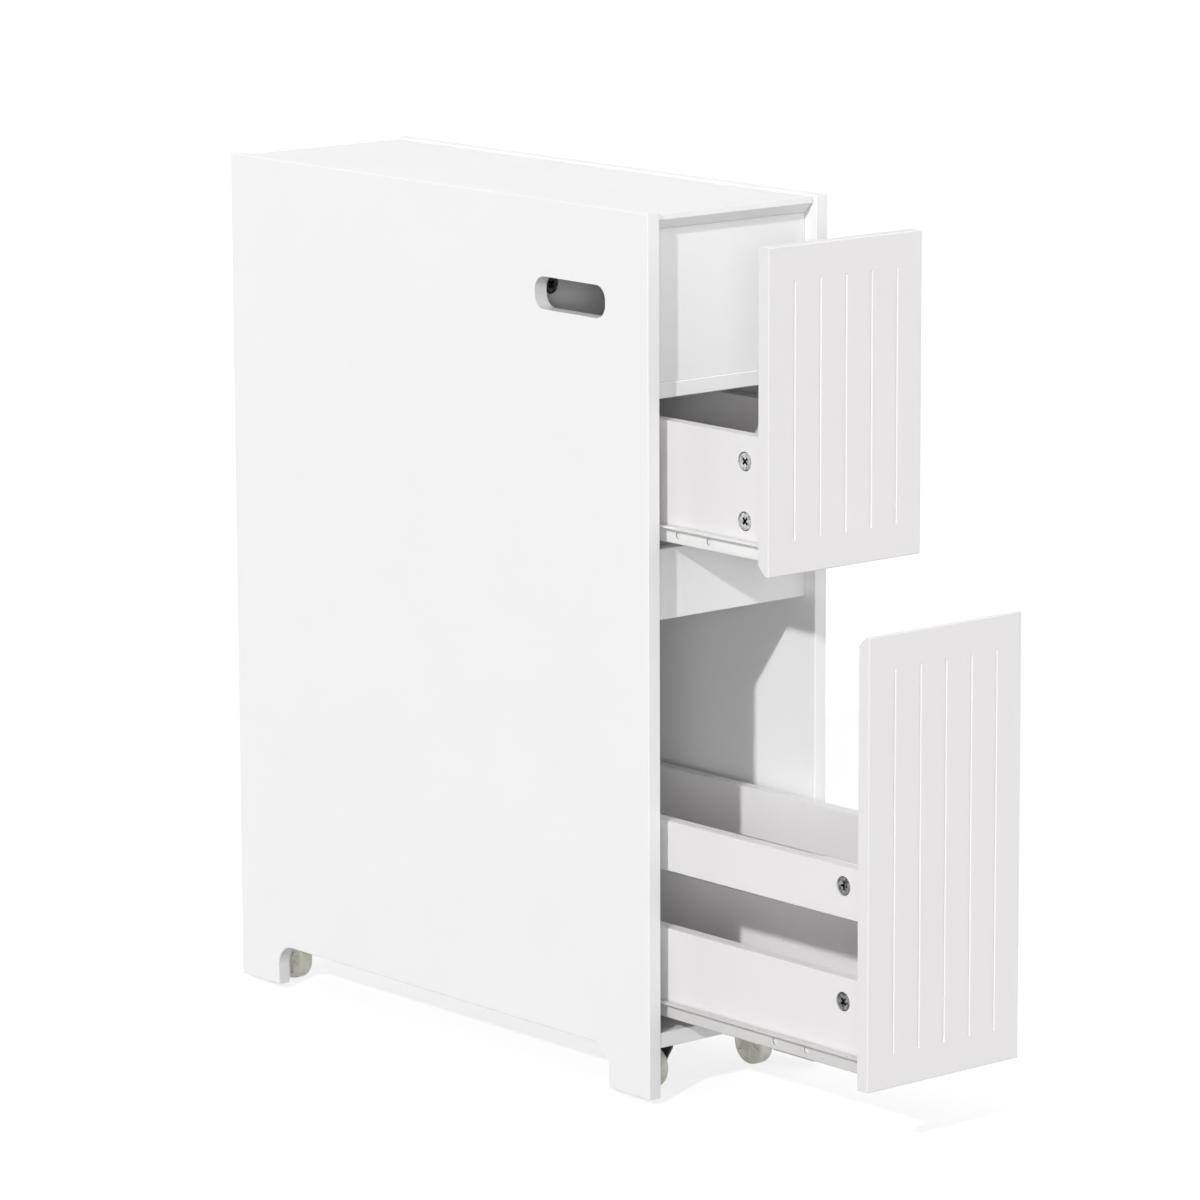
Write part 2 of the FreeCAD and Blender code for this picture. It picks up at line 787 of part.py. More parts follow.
def drawer_nodes(drawer):
    """The front, sides, back and bottom of one drawer with what joins them."""
    name = drawer.name + "_drawer"
    side_low = flange_top_of(drawer) - drawer_web_height
    bottom_z = side_low + drawer_bottom_rise
    bottom_reach = drawer_inner_half + drawer_groove_depth
    panel_half = bottom_reach - drawer_groove_end_gap
    panel_start = board_thickness - drawer_groove_depth
    bottom_span = (bottom_z, bottom_z + drawer_bottom_thickness)
    groove_block = block((-bottom_reach, bottom_reach), (panel_start, drawer_rear + cut_overlap), bottom_span)
    bottom = block((-panel_half, panel_half), (panel_start + drawer_groove_end_gap, drawer_rear), bottom_span)
    side_middle = drawer_outer_half - board_thickness / 2
    left_cams = []
    right_cams = []
    locks = []
    left_screws = []
    for side in drawer.boards:
        base = side_low + side.rise
        for rise in side.cam_rises:
            left_cams.append(cam_place(Vector(-side_middle, board_thickness, base + rise), BACK, LEFT))
            right_cams.append(cam_place(Vector(side_middle, board_thickness, base + rise), BACK, RIGHT))
            locks += placed(cam_lock(side.cam_turn), [left_cams[-1], right_cams[-1]])
        for rise in side.screw_rises:
            head = Vector(-drawer_outer_half, drawer_rear - board_thickness / 2, base + rise)
            left_screws.append(screw_place(head, LEFT))
    runner_screws = drawer_runner_screw_places(flange_top_of(drawer))
    joint_holes = placed(screw_hole(joint_screw_length), left_screws)
    side_cuts = placed(cam_bore(), left_cams) + joint_holes + [groove_block]
    side_cuts += placed(screw_hole(drawer_runner_screw_length), runner_screws)
    back_top = side_low + drawer.boards[-1].rise + drawer.boards[-1].height
    back = eased(block((-drawer_inner_half, drawer_inner_half), (drawer_rear - board_thickness, drawer_rear),
                       (bottom_span[1], back_top)))
    screws = placed(screw(joint_screw_length), left_screws)
    screws += placed(screw(drawer_runner_screw_length), runner_screws)
    cams = left_cams + right_cams
    nodes = {
        name + "_front": drawer_front(drawer, placed(bolt_socket(), cams) + [groove_block]),
        name + "_back": back.cut(both_sides(joint_holes)),
        name + "_bottom": bottom,
        name + "_cam_locks": Part.makeCompound(locks),
        name + "_cam_bolts": Part.makeCompound(placed(cam_bolt(), cams)),
        name + "_screws": Part.makeCompound(both_sides(screws)),
    }
    for side in drawer.boards:
        low = side_low + side.rise
        board = eased(block((-drawer_outer_half, -drawer_inner_half), (board_thickness, drawer_rear),
                            (low, low + side.height)))
        board = board.cut(side_cuts)
        nodes[name + "_left_" + side.name] = board
        nodes[name + "_right_" + side.name] = mirrored(board)
    for shape in nodes.values():
        shape.translate(BACK * -drawer.opened)
    return nodes


# Casters, drawn with the kingpin on the Z axis

caster_centres = {
    "front_left": Vector(-caster_x, front_caster_inset, 0),
    "front_right": Vector(caster_x, front_caster_inset, 0),
    "rear_left": Vector(-caster_x, caster_rear, 0),
    "rear_right": Vector(caster_x, caster_rear, 0),
}
race_low = bottom_low - plate_thickness - race_height
fork_top = race_low - race_gap
fork_half = hub_width / 2 + fork_side_play + fork_sheet
axle_reach = hub_width / 2 - hub_wall - seat_fit
barb_shoulder = axle_barb_length - axle_reach
axle_centre = Vector(0, caster_trail, wheel_radius)


def tangent_point(centre, radius, outside, turn):
    """Point where a line from an outside point touches a circle in the YZ plane, on one side."""
    away = outside - centre
    angle = math.atan2(away.z, away.y) + turn * math.acos(radius / away.Length)
    return centre + Vector(0, math.cos(angle), math.sin(angle)) * radius


def caster_fork():
    """Folded one-legged fork: a round-ended top on the kingpin and a leg that tapers to the axle's eye."""
    top_half = fork_top_length / 2
    eye_low = axle_centre.z - fork_eye_radius
    path = [Vector(-top_half, 0, fork_top),
            Vector(fork_half, 0, fork_top),
            Vector(fork_half, 0, eye_low)]
    length = fork_top_length + caster_trail
    bent = folded_section(path, fork_sheet, fork_inner_bend).extrude(BACK * length)
    bent.translate(FRONT * top_half)
    front_shoulder = Vector(0, -top_half, fork_top - fork_shoulder_drop)
    rear_shoulder = Vector(0, top_half, fork_top - fork_shoulder_drop)
    front_touch = tangent_point(axle_centre, fork_eye_radius, front_shoulder, 1)
    rear_touch = tangent_point(axle_centre, fork_eye_radius, rear_shoulder, -1)
    top_rear = Vector(0, top_half, fork_top)
    top_front = Vector(0, -top_half, fork_top)
    edges = [straight(front_shoulder, front_touch),
             Part.Arc(front_touch, axle_centre + DOWN * fork_eye_radius, rear_touch).toShape(),
             straight(rear_touch, rear_shoulder),
             straight(rear_shoulder, top_rear),
             straight(top_rear, top_front),
             straight(top_front, front_shoulder)]
    side_view = Part.Face(Part.Wire(edges)).extrude(RIGHT * (top_half + fork_half))
    side_view.translate(LEFT * top_half)
    round_end = rod(top_half, UP * eye_low, UP * fork_top)
    leg_side = block((0, fork_half), (-top_half, top_half + caster_trail), (eye_low, fork_top))
    pin_hole = rod(kingpin_radius + turning_fit, UP * eye_low, UP * (fork_top + cut_overlap))
    axle_hole = rod(caster_axle_radius + turning_fit, axle_centre,
                    axle_centre + RIGHT * (fork_half + cut_overlap))
    return bent.common(side_view).common(round_end.fuse(leg_side)).cut([pin_hole, axle_hole])


def caster_axle():
    """Stub riveted in the fork's eye, with a barb at its free end that snaps into the wheel's hub."""
    head_end = fork_half + axle_head_thickness
    profile = [Vector(-axle_reach, 0, 0),
               Vector(-axle_reach, caster_axle_radius, 0),
               Vector(barb_shoulder, axle_barb_radius, 0),
               Vector(barb_shoulder, caster_axle_radius, 0),
               Vector(fork_half, caster_axle_radius, 0),
               Vector(fork_half, axle_head_radius, 0),
               Vector(head_end, axle_head_radius, 0),
               Vector(head_end, 0, 0)]
    axle = turned(profile, RIGHT)
    axle.translate(axle_centre)
    return axle


def caster_wheel():
    """Moulded wheel with a rounded tread, ribs across its recessed faces and a hub closed on one side."""
    bore = caster_axle_radius + turning_fit
    pocket = axle_barb_radius + turning_fit
    pocket_start = barb_shoulder + seat_fit
    pocket_end = hub_wall - hub_width / 2
    rim_inside = wheel_radius - wheel_rim_thickness
    web_half = wheel_width / 2 - wheel_face_recess
    open_side = [Vector(hub_width / 2, hub_radius, 0),
                 Vector(web_half, hub_radius, 0),
                 Vector(web_half, rim_inside, 0),
                 Vector(wheel_width / 2, rim_inside, 0),
                 Vector(wheel_width / 2, wheel_radius, 0)]
    closed_side = [Vector(-point.x, point.y, 0) for point in open_side[::-1]]
    blind_bore = [Vector(-hub_width / 2, 0, 0),
                  Vector(pocket_end, 0, 0),
                  Vector(pocket_end, pocket, 0),
                  Vector(pocket_start, pocket, 0),
                  Vector(pocket_start, bore, 0),
                  Vector(hub_width / 2, bore, 0)]
    wheel = turned(open_side + closed_side + blind_bore, RIGHT)
    rims = []
    for edge in wheel.Edges:
        if edge.BoundBox.YLength > 2 * wheel_radius - wheel_tread_radius:
            rims.append(edge)
    wheel = wheel.makeFillet(wheel_tread_radius, rims)
    rib_half = wheel_width / 2 - rib_sink
    middle = (bore + hub_radius) / 2
    rib = block((-rib_half, rib_half), (-rib_thickness / 2, rib_thickness / 2),
                (-rim_inside - rib_sink, -middle))
    spokes = [Placement(Vector(), Rotation(RIGHT, index * 360 / rib_count)) for index in range(rib_count)]
    wheel = wheel.fuse(placed(rib, spokes)).removeSplitter()
    wheel.translate(axle_centre)
    return wheel


def caster_plate():
    """Screw plate with the pressed race that the fork turns under."""
    plate = block((-plate_width / 2, plate_width / 2), (-plate_length / 2, plate_length / 2),
                  (bottom_low - plate_thickness, bottom_low))
    corners = [edge for edge in plate.Edges if abs(edge.Curve.Direction.z) > 0.5]
    plate = plate.makeFillet(plate_corner_radius, corners)
    race = rod(race_radius, UP * race_low, UP * (bottom_low - plate_thickness))
    hole = rod(kingpin_radius + turning_fit, UP * (race_low - cut_overlap), UP * (bottom_low + cut_overlap))
    return plate.fuse(race).cut(hole)


def caster_kingpin():
    """Pin that hangs the fork from the plate, with its head under the fork's top."""
    head_top = fork_top - fork_sheet - race_gap
    pin = rod(kingpin_radius, UP * head_top, UP * bottom_low)
    head = rod(kingpin_head_radius, UP * (head_top - kingpin_head_thickness), UP * head_top)
    return pin.fuse(head)


def caster_nodes():
    """Four swivel casters under the bottom panel."""
    spots = [Placement(centre, Rotation()) for centre in caster_centres.values()]
    screw_holes = placed(screw_hole(caster_screw_length), caster_screw_places())
    plates = [plate.cut(screw_holes) for plate in placed(caster_plate(), spots)]
    nodes = {
        "caster_plates": Part.makeCompound(plates),
        "caster_kingpins": Part.makeCompound(placed(caster_kingpin(), spots)),
        "caster_screws": Part.makeCompound(placed(screw(caster_screw_length), caster_screw_places())),
    }
    pieces = {"fork": caster_fork(), "axle": caster_axle(), "wheel": caster_wheel()}
    for corner, centre in caster_centres.items():
        for piece, shape in pieces.items():
            copy = shape.copy()
            copy.translate(centre)
            nodes[corner + "_caster_" + piece] = copy
    return nodes


# Whole cabinet, with the origin on the floor under the middle of its box

def main():
    """Build every piece and write it out."""
    nodes = case_nodes()
    nodes.update(lid_nodes())
    nodes["cabinet_runner_screws"] = cabinet_runner_screws()
    for drawer in (upper_drawer, lower_drawer):
        nodes.update(runner_nodes(drawer))
        nodes.update(drawer_nodes(drawer))
    nodes.update(caster_nodes())
    os.makedirs("parts", exist_ok=True)
    for name, shape in nodes.items():
        shape.translate(BACK * -origin_y)
        shape.exportStep("parts/" + name + ".step")
        print(name, len(shape.Solids), shape.isValid(), round(shape.Volume))


main()
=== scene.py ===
"""Looks of a narrow rolling bathroom cabinet: its finishes, fasteners, casters, rollers and studio."""
import json
import logging
import math
from dataclasses import dataclass
from enum import Enum

import bmesh
import bpy
from mathutils import Matrix, Quaternion, Vector

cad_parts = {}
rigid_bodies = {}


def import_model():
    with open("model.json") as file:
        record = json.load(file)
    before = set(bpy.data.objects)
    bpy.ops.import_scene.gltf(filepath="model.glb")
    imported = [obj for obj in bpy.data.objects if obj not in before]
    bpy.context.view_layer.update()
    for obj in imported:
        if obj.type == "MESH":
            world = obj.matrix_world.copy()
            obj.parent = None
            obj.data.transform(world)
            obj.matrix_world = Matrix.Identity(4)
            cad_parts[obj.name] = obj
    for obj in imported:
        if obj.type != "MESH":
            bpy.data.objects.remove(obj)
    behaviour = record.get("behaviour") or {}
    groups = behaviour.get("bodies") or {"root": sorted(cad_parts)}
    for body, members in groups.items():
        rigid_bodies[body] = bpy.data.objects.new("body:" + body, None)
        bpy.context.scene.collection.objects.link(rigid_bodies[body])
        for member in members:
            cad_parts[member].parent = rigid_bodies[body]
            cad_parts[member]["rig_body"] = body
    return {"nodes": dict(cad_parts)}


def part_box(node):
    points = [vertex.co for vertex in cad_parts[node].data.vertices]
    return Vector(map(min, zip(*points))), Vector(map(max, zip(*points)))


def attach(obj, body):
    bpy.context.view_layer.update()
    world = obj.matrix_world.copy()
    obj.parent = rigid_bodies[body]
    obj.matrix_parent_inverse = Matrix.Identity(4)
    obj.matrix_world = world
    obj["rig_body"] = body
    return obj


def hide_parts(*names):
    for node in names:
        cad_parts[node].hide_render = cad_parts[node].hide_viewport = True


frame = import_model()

log = logging.getLogger("cabinet")
logging.basicConfig(level=logging.INFO, format="%(name)s: %(message)s")

Tree = bpy.types.NodeTree
Socket = bpy.types.NodeSocket
Mesh = bmesh.types.BMesh
Edge = bmesh.types.BMEdge
Triple = tuple[float, float, float]
Outline = list[tuple[float, float]]
ShaderValues = dict[str, float | Triple]

MM = 0.001
X_AXIS = Vector((1, 0, 0))
Z_AXIS = Vector((0, 0, 1))
WHITE = "#FFFFFF"

# Points closer than this are one point, and rims are found to within the second; millimetres
MERGE_MM = 0.001
RIM_MM = 0.01
# Edges that turn by more than this stay sharp
SHARP_ANGLE = math.radians(35)

# Sockets of a Mix node for colours, by number because its names repeat for other kinds of data
MIX_SHARE = 0
MIX_FIRST = 6
MIX_SECOND = 7
MIX_RESULT = 2


class Slot(Enum):
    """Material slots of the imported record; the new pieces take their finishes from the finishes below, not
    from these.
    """

    SCREW = "screw"
    ROLLER = "roller"
    WHEEL = "wheel"


class Level(Enum):
    """The two drawers."""

    UPPER = "upper"
    LOWER = "lower"


class Side(Enum):
    """Left and right, seen from the drawer fronts."""

    LEFT = "left"
    RIGHT = "right"


class Corner(Enum):
    """The four casters."""

    FRONT_LEFT = "front_left"
    FRONT_RIGHT = "front_right"
    REAR_LEFT = "rear_left"
    REAR_RIGHT = "rear_right"


def linear(colour: str) -> tuple[float, float, float, float]:
    """Turn an sRGB hex colour into the linear colour that a shader takes.

    Args:
        colour: Six hex digits after a hash.

    Returns:
        Linear red, green and blue, and an alpha of 1.
    """
    channels = []
    for start in (1, 3, 5):
        value = int(colour[start:start + 2], 16) / 255
        channels.append(value / 12.92 if value <= 0.04045 else ((value + 0.055) / 1.055) ** 2.4)
    return channels[0], channels[1], channels[2], 1.0


def per_metre(millimetres: float) -> float:
    """Give a texture's scale from the size of its pattern in millimetres."""
    return 1 / (millimetres * MM)


def add_node(tree: Tree, kind: str, settings: dict | None = None,
             links: dict | None = None) -> bpy.types.Node:
    """Add a shader node with its settings and links.

    Args:
        tree: Node tree that gets the node.
        kind: Blender's type name of the node.
        settings: Values of input sockets, by name or number, and of the node's own properties.
        links: Output sockets of other nodes, by the name or number of the input that they feed.

    Returns:
        The new node.
    """
    node = tree.nodes.new(kind)
    for key, value in (settings or {}).items():
        if isinstance(key, int) or key in node.inputs:
            node.inputs[key].default_value = value
        else:
            setattr(node, key, value)
    for key, socket in (links or {}).items():
        tree.links.new(socket, node.inputs[key])
    return node


@dataclass(frozen=True)
class Finish:
    """A surface: two close colours that it wanders between, the range of its roughness, and its relief.

    Its patterns are drawn in the piece's Object coordinates, in metres.
    """

    name: str
    colour: str
    tint: str
    smooth: float
    rough: float
    ior: float = 1.5
    relief_mm: float = 0.05
    relief_strength: float = 0.25
    relief_sunk: bool = False

    def shine(self) -> ShaderValues:
        """Give the shader values that are the same all over the surface."""
        return {"IOR": self.ior}

    def wander(self, tree: Tree, coords: Socket) -> Socket:
        """Draw the pattern, from 0 to 1, that colour and roughness follow."""
        raise NotImplementedError

    def height(self, tree: Tree, coords: Socket, pattern: Socket) -> Socket:
        """Draw the small relief's height, from 0 to 1: the pattern's own, unless a finish has another."""
        return pattern

    def tone(self, tree: Tree, pattern: Socket) -> Socket:
        """Mix the two colours by the pattern."""
        colours = {"data_type": "RGBA", MIX_FIRST: linear(self.colour), MIX_SECOND: linear(self.tint)}
        return add_node(tree, "ShaderNodeMix", colours, {MIX_SHARE: pattern}).outputs[MIX_RESULT]

    def material(self) -> bpy.types.Material:
        """Give the finish's material, made when it is first asked for.

        Returns:
            The material, named as the finish is.
        """
        known = bpy.data.materials.get(self.name)
        if known:
            return known
        material = bpy.data.materials.new(self.name)
        material.use_nodes = True
        tree = material.node_tree
        tree.nodes.clear()
        coords = add_node(tree, "ShaderNodeTexCoord").outputs["Object"]
        pattern = self.wander(tree, coords)
        roughness = add_node(tree, "ShaderNodeMapRange", {"To Min": self.smooth, "To Max": self.rough},
                             {"Value": pattern})
        bump = add_node(tree, "ShaderNodeBump",
                        {"Strength": self.relief_strength, "Distance": self.relief_mm * MM,
                         "invert": self.relief_sunk},
                        {"Height": self.height(tree, coords, pattern)})
        shader = add_node(tree, "ShaderNodeBsdfPrincipled", self.shine(),
                          {"Base Color": self.tone(tree, pattern), "Roughness": roughness.outputs["Result"],
                           "Normal": bump.outputs["Normal"]})
        add_node(tree, "ShaderNodeOutputMaterial", links={"Surface": shader.outputs["BSDF"]})
        return material


@dataclass(frozen=True)
class RecessShadedFinish(Finish):
    """A surface with painted shade in its recesses: its colour is darkened where ambient occlusion finds
    other surfaces close by.
    """

    recess_mm: float = 1.8
    recess_tone: float = 0.03
    recess_shut: float = 0.55
    recess_open: float = 0.92
    recess_samples: int = 12

    def tone(self, tree: Tree, pattern: Socket) -> Socket:
        """Mix the two colours by the pattern and darken them with painted shade in the recesses.

        Args:
            tree: Node tree of the material.
            pattern: The pattern's value.

        Returns:
            The mixed colour, darkened by painted shade in its recesses.
        """
        # Painted shade: ambient occlusion darkens the colour where other surfaces are close by
        reached = add_node(tree, "ShaderNodeAmbientOcclusion",
                           {"samples": self.recess_samples, "Distance": self.recess_mm * MM})
        shade_factor = add_node(tree, "ShaderNodeMapRange",
                         {"From Min": self.recess_shut, "From Max": self.recess_open,
                          "To Min": self.recess_tone, "To Max": 1.0},
                         {"Value": reached.outputs["AO"]})
        both = add_node(tree, "ShaderNodeMix",
                        {"data_type": "RGBA", "blend_type": "MULTIPLY", MIX_SHARE: 1.0},
                        {MIX_FIRST: super().tone(tree, pattern), MIX_SECOND: shade_factor.outputs["Result"]})
        return both.outputs[MIX_RESULT]


@dataclass(frozen=True)
class LacqueredBoard(Finish):
    """Fibreboard sprayed with satin lacquer: an even sheen with a faint orange peel.

    The peel is drawn coarser than on a real board, so that it shows.
    """

    ior: float = 1.48
    coat_weight: float = 0.15
    coat_roughness: float = 0.3
    cloud_mm: float = 90.0
    cloud_detail: float = 4.0
    peel_mm: float = 2.2
    peel_detail: float = 1.5

    def shine(self) -> ShaderValues:
        """Give the lacquer's refraction and its thin clear film."""
        return {"IOR": self.ior, "Coat Weight": self.coat_weight, "Coat Roughness": self.coat_roughness}

    def wander(self, tree: Tree, coords: Socket) -> Socket:
        """Draw the slow clouds that a spray gun leaves."""
        settings = {"Scale": per_metre(self.cloud_mm), "Detail": self.cloud_detail}
        return add_node(tree, "ShaderNodeTexNoise", settings, {"Vector": coords}).outputs["Fac"]

    def height(self, tree: Tree, coords: Socket, pattern: Socket) -> Socket:
        """Draw the orange peel."""
        settings = {"Scale": per_metre(self.peel_mm), "Detail": self.peel_detail}
        return add_node(tree, "ShaderNodeTexNoise", settings, {"Vector": coords}).outputs["Fac"]


@dataclass(frozen=True)
class FacedHardboard(Finish):
    """Thin hardboard faced with white foil: fibres that run along Y show through and lift the foil.

    The fibres are drawn several times as wide as real ones, so that they show.
    """

    relief_mm: float = 0.06
    relief_strength: float = 0.3
    fibre_mm: float = 1.6
    fibre_run: float = 9.0
    fibre_detail: float = 3.0

    def wander(self, tree: Tree, coords: Socket) -> Socket:
        """Draw fibres that are many times as long as wide.

        Args:
            tree: Node tree of the material.
            coords: Object coordinates, in metres.

        Returns:
            The fibres' value.
        """
        run = add_node(tree, "ShaderNodeMapping", {"Scale": (1.0, 1 / self.fibre_run, 1.0)},
                       {"Vector": coords})
        fibres = add_node(tree, "ShaderNodeTexNoise",
                          {"Scale": per_metre(self.fibre_mm), "Detail": self.fibre_detail},
                          {"Vector": run.outputs["Vector"]})
        return fibres.outputs["Fac"]


@dataclass(frozen=True)
class EpoxyCoat(RecessShadedFinish):
    """Sheet steel with baked epoxy powder: a dull skin of fine pimples, with painted shade in its folds and
    holes.

    The pimples are drawn at twice their real size, so that they show.
    """

    relief_mm: float = 0.06
    relief_strength: float = 0.15
    relief_sunk: bool = True
    pimple_mm: float = 1.1
    pimple_smoothness: float = 0.6
    patch_mm: float = 30.0
    patch_detail: float = 5.0

    def wander(self, tree: Tree, coords: Socket) -> Socket:
        """Draw the patches where the powder lies thicker."""
        settings = {"Scale": per_metre(self.patch_mm), "Detail": self.patch_detail}
        return add_node(tree, "ShaderNodeTexNoise", settings, {"Vector": coords}).outputs["Fac"]

    def height(self, tree: Tree, coords: Socket, pattern: Socket) -> Socket:
        """Draw the pimples, by the distance from their middles.

        Args:
            tree: Node tree of the material.
            coords: Object coordinates, in metres.
            pattern: The pattern's value; not used.

        Returns:
            How far a point is from a pimple's middle.
        """
        pimples = add_node(tree, "ShaderNodeTexVoronoi",
                           {"feature": "SMOOTH_F1", "Scale": per_metre(self.pimple_mm),
                            "Smoothness": self.pimple_smoothness},
                           {"Vector": coords})
        return pimples.outputs["Distance"]


@dataclass(frozen=True)
class DieCastZinc(RecessShadedFinish):
    """Die-cast zinc as tumbled: metal with a grain of small pits, and painted shade that darkens its
    recesses.

    The grain is drawn coarser than on a real casting, so that it shows.
    """

    relief_strength: float = 0.4
    recess_mm: float = 2.6
    recess_shut: float = 0.64
    recess_open: float = 0.94
    grain_mm: float = 0.7
    grain_detail: float = 2.0
    patch_mm: float = 3.0
    patch_detail: float = 6.0
    patch_start: float = 0.38
    patch_end: float = 0.62

    def shine(self) -> ShaderValues:
        """Make it bare metal."""
        return {"Metallic": 1.0}

    def wander(self, tree: Tree, coords: Socket) -> Socket:
        """Draw the patches where the skin has dulled, with a clear edge.

        Args:
            tree: Node tree of the material.
            coords: Object coordinates, in metres.

        Returns:
            The patches' value.
        """
        patches = add_node(tree, "ShaderNodeTexNoise",
                           {"Scale": per_metre(self.patch_mm), "Detail": self.patch_detail},
                           {"Vector": coords})
        parted = add_node(tree, "ShaderNodeMapRange",
                          {"From Min": self.patch_start, "From Max": self.patch_end},
                          {"Value": patches.outputs["Fac"]})
        return parted.outputs["Result"]

    def height(self, tree: Tree, coords: Socket, pattern: Socket) -> Socket:
        """Draw the cast grain."""
        settings = {"Scale": per_metre(self.grain_mm), "Detail": self.grain_detail}
        return add_node(tree, "ShaderNodeTexNoise", settings, {"Vector": coords}).outputs["Fac"]


@dataclass(frozen=True)
class PlatedSteel(RecessShadedFinish):
    """Zinc-plated steel: a bright metal skin with a spangle of crystals, and painted shade in its recesses.

    The marks that drawing left in wire and strip are drawn coarser than real ones, so that they show.
    """

    relief_mm: float = 0.02
    relief_strength: float = 0.3
    recess_mm: float = 1.5
    recess_shut: float = 0.5
    recess_open: float = 0.88
    spangle_mm: float = 2.5
    mark_mm: float = 0.5
    mark_run: float = 10.0
    mark_detail: float = 2.0

    def shine(self) -> ShaderValues:
        """Make it bare metal."""
        return {"Metallic": 1.0}

    def wander(self, tree: Tree, coords: Socket) -> Socket:
        """Draw the crystals, each with its own tone.

        Args:
            tree: Node tree of the material.
            coords: Object coordinates, in metres.

        Returns:
            The crystals' tone.
        """
        crystals = add_node(tree, "ShaderNodeTexVoronoi", {"Scale": per_metre(self.spangle_mm)},
                            {"Vector": coords})
        tone = add_node(tree, "ShaderNodeSeparateColor", links={"Color": crystals.outputs["Color"]})
        return tone.outputs["Red"]

    def height(self, tree: Tree, coords: Socket, pattern: Socket) -> Socket:
        """Draw the drawing marks, many times as long as wide.

        Args:
            tree: Node tree of the material.
            coords: Object coordinates, in metres.
            pattern: The pattern's value; not used.

        Returns:
            The height of the marks.
        """
        run = add_node(tree, "ShaderNodeMapping", {"Scale": (1.0, 1 / self.mark_run, 1 / self.mark_run)},
                       {"Vector": coords})
        marks = add_node(tree, "ShaderNodeTexNoise",
                         {"Scale": per_metre(self.mark_mm), "Detail": self.mark_detail},
                         {"Vector": run.outputs["Vector"]})
        return marks.outputs["Fac"]


@dataclass(frozen=True)
class MouldedNylon(Finish):
    """Moulded nylon: a waxy skin that lets some light in, with faint bent flow marks from the gate."""

    ior: float = 1.53
    relief_strength: float = 0.2
    translucence: float = 0.15
    light_depth_mm: float = 1.5
    light_reach: Triple = (1.0, 1.0, 0.85)
    flow_mm: float = 6.0
    flow_detail: float = 3.0
    flow_bend: float = 1.2

    def shine(self) -> ShaderValues:
        """Let light into the skin, blue a little less deep than red and green."""
        return {"IOR": self.ior, "Subsurface Weight": self.translucence,
                "Subsurface Radius": self.light_reach, "Subsurface Scale": self.light_depth_mm * MM}

    def wander(self, tree: Tree, coords: Socket) -> Socket:
        """Draw the bent bands in which the melt ran."""
        settings = {"Scale": per_metre(self.flow_mm), "Detail": self.flow_detail,
                    "Distortion": self.flow_bend}
        return add_node(tree, "ShaderNodeTexNoise", settings, {"Vector": coords}).outputs["Fac"]


@dataclass(frozen=True)
class BlackEnamel(Finish):
    """Pressed steel dipped in black enamel: a slack glossy skin, drawn thin and duller in places."""

    relief_mm: float = 0.08
    run_mm: float = 8.0
    run_detail: float = 3.0

    def wander(self, tree: Tree, coords: Socket) -> Socket:
        """Draw where the enamel ran thin."""
        settings = {"Scale": per_metre(self.run_mm), "Detail": self.run_detail}
        return add_node(tree, "ShaderNodeTexNoise", settings, {"Vector": coords}).outputs["Fac"]


# Case boards: a bright satin white that hardly wanders
CASE_LACQUER = LacqueredBoard("white_lacquered_fibreboard", "#F5F5F5", "#F1F1F1", 0.36, 0.46)
# Drawer boards: the same lacquer, a shade greyer and warmer
DRAWER_LACQUER = LacqueredBoard("pale_lacquered_fibreboard", "#ECEAEB", "#E8E6E7", 0.36, 0.46)
# Drawer bottoms: duller than lacquer, with fibres under the foil
WHITE_FOIL = FacedHardboard("foil_faced_hardboard", "#EFEFEE", "#E9E9E7", 0.42, 0.55)
# Runners: white on the upper drawer; on the lower one a greyer copy of the same epoxy, as painted shade;
# both with painted shade in their holes and folds
WHITE_EPOXY = EpoxyCoat("white_epoxy_coated_sheet_steel", "#F3F3F2", "#EEEEEC", 0.4, 0.52, recess_tone=0.1)
# Painted shade: the lower runners are a greyer copy of the upper runners' epoxy
SHADED_EPOXY = EpoxyCoat("shaded_grey_epoxy_coated_sheet_steel", "#DAD9D7", "#D2D1CF", 0.4, 0.52,
                       recess_tone=0.3)
# Cam locks: bright with crosses made black by painted shade, and on the lower drawer dark and mottled
BRIGHT_ZINC = DieCastZinc("tumbled_die_cast_zinc", "#D2D2D0", "#868684", 0.26, 0.42)
DULL_ZINC = DieCastZinc("dull_die_cast_zinc", "#A09F9D", "#4C4C4B", 0.34, 0.55)
# Screws, bolts, pins and plates: clear metal glints round recesses darkened by painted shade
ZINC_PLATE = PlatedSteel("zinc_plated_steel", "#C9CAC8", "#B2B4B3", 0.22, 0.36)
# Rollers and bushes: plain white plastic with a soft gloss
WHITE_NYLON = MouldedNylon("white_moulded_nylon", "#ECECE8", "#E2E2DC", 0.34, 0.46)
# Wheels: cream and waxy, lit a little from within
NATURAL_NYLON = MouldedNylon("natural_moulded_nylon", "#FAF9EC", "#F4F3E4", 0.3, 0.42,
                             translucence=0.6, light_depth_mm=4.0)
# Caster forks: a black that still shows its gloss
CASTER_BLACK = BlackEnamel("black_dipped_enamel", "#2C2C2D", "#363637", 0.3, 0.45)


def dress(node: str, finish: Finish) -> None:
    """Give a CAD node its finish.

    Args:
        node: Name of the node.
        finish: Finish of its whole surface.
    """
    materials = frame["nodes"][node].data.materials
    materials.clear()
    materials.append(finish.material())
    log.info("%s: %s", node, finish.name)


def solids_of(node: str) -> list[list[Vector]]:
    """Part a CAD node's mesh into its solids.

    Args:
        node: Name of the node.

    Returns:
        The corner points of each solid, in metres.
    """
    mesh = bmesh.new()
    mesh.from_mesh(frame["nodes"][node].data)
    bmesh.ops.remove_doubles(mesh, verts=mesh.verts, dist=MERGE_MM * MM)
    solids = []
    for seed in mesh.verts:
        if seed.tag:
            continue
        seed.tag = True
        reached = [seed]
        for vert in reached:
            for edge in vert.link_edges:
                other = edge.other_vert(vert)
                if not other.tag:
                    other.tag = True
                    reached.append(other)
        solids.append([vert.co.copy() for vert in reached])
    mesh.free()
    return solids


